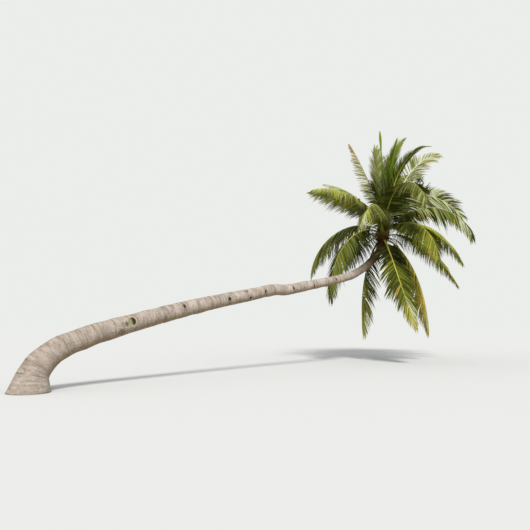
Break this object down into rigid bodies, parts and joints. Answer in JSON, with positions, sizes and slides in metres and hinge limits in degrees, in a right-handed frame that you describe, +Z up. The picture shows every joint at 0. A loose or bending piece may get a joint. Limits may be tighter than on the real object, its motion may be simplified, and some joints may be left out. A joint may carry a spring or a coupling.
{
  "type": "coconut palm tree",
  "caption": "Tall tropical palm with a notched trunk that leans far over and a full crown of arching feathered fronds.",
  "frame": {"origin": "middle of the flat cut under the trunk, at ground level", "axes": "+X is the way the trunk leans, +Z is up, and the trunk bends in the plane y = 0"},
  "size_m": [19.5914, 7.0316, 9.7496],
  "materials": {
    "bark": "weathered, ringed with leaf scars",
    "leaf_base_fibre": "matt, fibrous",
    "leaf": "satin",
    "spear_leaf": "satin",
    "flower_stalk": "matt"
  },
  "bodies": {
    "root": {"trunk": "bark", "heart": "leaf_base_fibre", "spear": "spear_leaf", "flower_stalk_1": "flower_stalk", "flower_stalk_2": "flower_stalk", "flower_stalk_3": "flower_stalk", "frond_01": "leaf", "frond_02": "leaf", "frond_03": "leaf", "frond_04": "leaf", "frond_05": "leaf", "frond_06": "leaf", "frond_07": "leaf", "frond_08": "leaf", "frond_09": "leaf", "frond_10": "leaf", "frond_11": "leaf", "frond_12": "leaf", "frond_13": "leaf", "frond_14": "leaf", "frond_15": "leaf", "frond_16": "leaf", "frond_17": "leaf", "frond_18": "leaf", "frond_19": "leaf", "frond_20": "leaf", "frond_21": "leaf", "frond_22": "leaf", "frond_23": "leaf", "frond_24": "leaf", "frond_25": "leaf", "frond_26": "leaf"}
  },
  "joints": []
}
